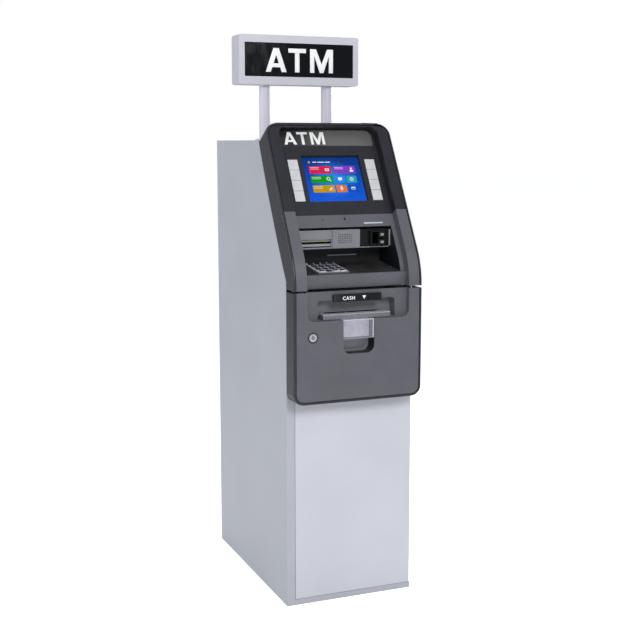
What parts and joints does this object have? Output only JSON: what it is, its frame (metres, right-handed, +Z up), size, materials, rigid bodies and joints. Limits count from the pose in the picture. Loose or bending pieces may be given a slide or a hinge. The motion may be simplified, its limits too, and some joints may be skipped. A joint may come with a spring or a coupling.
{
  "type": "cash machine",
  "caption": "Free-standing cash machine with a sloping console, cash dispenser fascia, vault door below and a lettered sign on two posts above.",
  "frame": {"origin": "middle of the footprint box, on the floor", "axes": "+Z up, front faces -Y, +X to the right of someone facing the screen"},
  "size_m": [0.4, 0.701, 1.6805],
  "materials": {
    "cabinet_shell": "fine powder coat, satin",
    "base_plate": "primer, matt",
    "vault_body": "primer, matt",
    "rear_panel": "fine powder coat, satin",
    "sign_posts": "silver paint, satin",
    "sign_case": "silver paint, satin",
    "sign_face": "black acrylic with white letters",
    "computer_box": "zinc grey, satin",
    "power_supply": "plain steel",
    "cooling_fan": "moulded black",
    "hinge_fittings": "zinc plated",
    "dispenser_frame": "zinc plated",
    "cash_cassette": "moulded, fine texture",
    "fan_rotor": "moulded black",
    "feed_roller": "steel shaft with rubber rollers",
    "vault_door": "fine powder coat, satin",
    "lock_case": "zinc plated",
    "fascia_mounts": "zinc plated",
    "vault_dial": "black with a knurled grip",
    "vault_handle": "satin chrome",
    "bolt_bar": "ground steel",
    "lower_shell": "moulded, fine texture",
    "lower_panel": "moulded, fine texture",
    "note_chute": "moulded, fine texture",
    "cash_label": "black with white lettering",
    "note_guard": "clear acrylic",
    "lock_barrel": "satin chrome",
    "lock_plug": "bright chrome",
    "upper_shell": "moulded, fine texture",
    "upper_bezel": "moulded, fine texture",
    "console_bezel": "moulded, fine texture",
    "header_window": "smoked acrylic with white letters",
    "display_panel": "lit screen behind glass",
    "alcove_liner": "moulded, fine texture",
    "keypad_plate": "satin steel",
    "receipt_printer": "light grey moulding",
    "speaker_panel": "light grey moulding",
    "card_reader": "black moulding",
    "console_lights": "clear light guide",
    "function_key": "light grey key",
    "pin_key": "dark key"
  },
  "bodies": {
    "cabinet": {"cabinet_shell": "cabinet_shell", "base_plate": "base_plate", "vault_body": "vault_body", "rear_panel": "rear_panel", "sign_posts": "sign_posts", "sign_case": "sign_case", "sign_face": "sign_face", "computer_box": "computer_box", "power_supply": "power_supply", "cooling_fan": "cooling_fan", "hinge_fittings": "hinge_fittings", "dispenser_frame": "dispenser_frame", "cash_cassette": "cash_cassette"},
    "fan": {"fan_rotor": "fan_rotor"},
    "roller": {"feed_roller": "feed_roller"},
    "door": {"vault_door": "vault_door", "lock_case": "lock_case", "fascia_mounts": "fascia_mounts"},
    "dial": {"vault_dial": "vault_dial"},
    "handle": {"vault_handle": "vault_handle"},
    "bolts": {"bolt_bar": "bolt_bar"},
    "lower_fascia": {"lower_shell": "lower_shell", "lower_panel": "lower_panel", "note_chute": "note_chute", "cash_label": "cash_label", "note_guard": "note_guard", "lock_barrel": "lock_barrel"},
    "fascia_lock": {"lock_plug": "lock_plug"},
    "upper_fascia": {"upper_shell": "upper_shell", "upper_bezel": "upper_bezel", "console_bezel": "console_bezel", "header_window": "header_window", "display_panel": "display_panel", "alcove_liner": "alcove_liner", "keypad_plate": "keypad_plate", "receipt_printer": "receipt_printer", "speaker_panel": "speaker_panel", "card_reader": "card_reader", "console_lights": "console_lights"},
    "key_left_1_cap": {"key_left_1": "function_key"},
    "key_left_2_cap": {"key_left_2": "function_key"},
    "key_left_3_cap": {"key_left_3": "function_key"},
    "key_left_4_cap": {"key_left_4": "function_key"},
    "key_right_1_cap": {"key_right_1": "function_key"},
    "key_right_2_cap": {"key_right_2": "function_key"},
    "key_right_3_cap": {"key_right_3": "function_key"},
    "key_right_4_cap": {"key_right_4": "function_key"},
    "pin_key_1_cap": {"pin_key_1": "pin_key"},
    "pin_key_2_cap": {"pin_key_2": "pin_key"},
    "pin_key_3_cap": {"pin_key_3": "pin_key"},
    "pin_key_4_cap": {"pin_key_4": "pin_key"},
    "pin_key_5_cap": {"pin_key_5": "pin_key"},
    "pin_key_6_cap": {"pin_key_6": "pin_key"},
    "pin_key_7_cap": {"pin_key_7": "pin_key"},
    "pin_key_8_cap": {"pin_key_8": "pin_key"},
    "pin_key_9_cap": {"pin_key_9": "pin_key"},
    "pin_key_0_cap": {"pin_key_0": "pin_key"},
    "pin_cancel_cap": {"pin_cancel": "pin_key"},
    "pin_clear_cap": {"pin_clear": "pin_key"},
    "pin_enter_cap": {"pin_enter": "pin_key"}
  },
  "joints": [
    {"name": "door_swing", "type": "hinge", "parent": "cabinet", "child": "door", "pos_m": [0.1935, -0.2835, 0.47], "axis": [0, 0, 1], "range_deg": [0, 95]},
    {"name": "lower_fascia_swing", "type": "hinge", "parent": "door", "child": "lower_fascia", "pos_m": [0.195, -0.297, 0.77], "axis": [0, 0, 1], "range_deg": [0, 83]},
    {"name": "upper_fascia_tilt", "type": "hinge", "parent": "cabinet", "child": "upper_fascia", "pos_m": [0, -0.3405, 0.946], "axis": [1, 0, 0], "range_deg": [0, 60]},
    {"name": "handle_turn", "type": "hinge", "parent": "door", "child": "handle", "pos_m": [0.03, -0.2995, 0.65], "axis": [0, -1, 0], "range_deg": [0, 88]},
    {"name": "bolt_slide", "type": "slide", "parent": "door", "child": "bolts", "axis": [-1, 0, 0], "range_m": [0, 0.0201]},
    {"name": "dial_turn", "type": "hinge", "parent": "door", "child": "dial", "pos_m": [-0.105, -0.2995, 0.712], "axis": [0, -1, 0], "continuous": true},
    {"name": "fascia_lock_turn", "type": "hinge", "parent": "lower_fascia", "child": "fascia_lock", "pos_m": [-0.1417, -0.3395, 0.805], "axis": [0, 1, 0], "range_deg": [0, 90]},
    {"name": "fan_spin", "type": "hinge", "parent": "cabinet", "child": "fan", "pos_m": [0.106, 0.3335, 1.226], "axis": [0, 1, 0], "continuous": true},
    {"name": "roller_spin", "type": "hinge", "parent": "cabinet", "child": "roller", "pos_m": [0, -0.1895, 0.845], "axis": [1, 0, 0], "continuous": true},
    {"name": "key_left_1_press", "type": "slide", "parent": "upper_fascia", "child": "key_left_1_cap", "axis": [0, 0.866, -0.5], "range_m": [0, 0.002], "stiffness_N_per_m": 300},
    {"name": "key_left_2_press", "type": "slide", "parent": "upper_fascia", "child": "key_left_2_cap", "axis": [0, 0.866, -0.5], "range_m": [0, 0.002], "stiffness_N_per_m": 300},
    {"name": "key_left_3_press", "type": "slide", "parent": "upper_fascia", "child": "key_left_3_cap", "axis": [0, 0.866, -0.5], "range_m": [0, 0.002], "stiffness_N_per_m": 300},
    {"name": "key_left_4_press", "type": "slide", "parent": "upper_fascia", "child": "key_left_4_cap", "axis": [0, 0.866, -0.5], "range_m": [0, 0.002], "stiffness_N_per_m": 300},
    {"name": "key_right_1_press", "type": "slide", "parent": "upper_fascia", "child": "key_right_1_cap", "axis": [0, 0.866, -0.5], "range_m": [0, 0.002], "stiffness_N_per_m": 300},
    {"name": "key_right_2_press", "type": "slide", "parent": "upper_fascia", "child": "key_right_2_cap", "axis": [0, 0.866, -0.5], "range_m": [0, 0.002], "stiffness_N_per_m": 300},
    {"name": "key_right_3_press", "type": "slide", "parent": "upper_fascia", "child": "key_right_3_cap", "axis": [0, 0.866, -0.5], "range_m": [0, 0.002], "stiffness_N_per_m": 300},
    {"name": "key_right_4_press", "type": "slide", "parent": "upper_fascia", "child": "key_right_4_cap", "axis": [0, 0.866, -0.5], "range_m": [0, 0.002], "stiffness_N_per_m": 300},
    {"name": "pin_key_1_press", "type": "slide", "parent": "upper_fascia", "child": "pin_key_1_cap", "axis": [0, 0.1216, -0.9926], "range_m": [0, 0.0025], "stiffness_N_per_m": 300},
    {"name": "pin_key_2_press", "type": "slide", "parent": "upper_fascia", "child": "pin_key_2_cap", "axis": [0, 0.1216, -0.9926], "range_m": [0, 0.0025], "stiffness_N_per_m": 300},
    {"name": "pin_key_3_press", "type": "slide", "parent": "upper_fascia", "child": "pin_key_3_cap", "axis": [0, 0.1216, -0.9926], "range_m": [0, 0.0025], "stiffness_N_per_m": 300},
    {"name": "pin_key_4_press", "type": "slide", "parent": "upper_fascia", "child": "pin_key_4_cap", "axis": [0, 0.1216, -0.9926], "range_m": [0, 0.0025], "stiffness_N_per_m": 300},
    {"name": "pin_key_5_press", "type": "slide", "parent": "upper_fascia", "child": "pin_key_5_cap", "axis": [0, 0.1216, -0.9926], "range_m": [0, 0.0025], "stiffness_N_per_m": 300},
    {"name": "pin_key_6_press", "type": "slide", "parent": "upper_fascia", "child": "pin_key_6_cap", "axis": [0, 0.1216, -0.9926], "range_m": [0, 0.0025], "stiffness_N_per_m": 300},
    {"name": "pin_key_7_press", "type": "slide", "parent": "upper_fascia", "child": "pin_key_7_cap", "axis": [0, 0.1216, -0.9926], "range_m": [0, 0.0025], "stiffness_N_per_m": 300},
    {"name": "pin_key_8_press", "type": "slide", "parent": "upper_fascia", "child": "pin_key_8_cap", "axis": [0, 0.1216, -0.9926], "range_m": [0, 0.0025], "stiffness_N_per_m": 300},
    {"name": "pin_key_9_press", "type": "slide", "parent": "upper_fascia", "child": "pin_key_9_cap", "axis": [0, 0.1216, -0.9926], "range_m": [0, 0.0025], "stiffness_N_per_m": 300},
    {"name": "pin_key_0_press", "type": "slide", "parent": "upper_fascia", "child": "pin_key_0_cap", "axis": [0, 0.1216, -0.9926], "range_m": [0, 0.0025], "stiffness_N_per_m": 300},
    {"name": "pin_cancel_press", "type": "slide", "parent": "upper_fascia", "child": "pin_cancel_cap", "axis": [0, 0.1216, -0.9926], "range_m": [0, 0.0025], "stiffness_N_per_m": 300},
    {"name": "pin_clear_press", "type": "slide", "parent": "upper_fascia", "child": "pin_clear_cap", "axis": [0, 0.1216, -0.9926], "range_m": [0, 0.0025], "stiffness_N_per_m": 300},
    {"name": "pin_enter_press", "type": "slide", "parent": "upper_fascia", "child": "pin_enter_cap", "axis": [0, 0.1216, -0.9926], "range_m": [0, 0.0025], "stiffness_N_per_m": 300}
  ],
  "couplings": [
    {"joint": "bolt_slide", "follows": "handle_turn", "m_per_rad": 0.013}
  ]
}
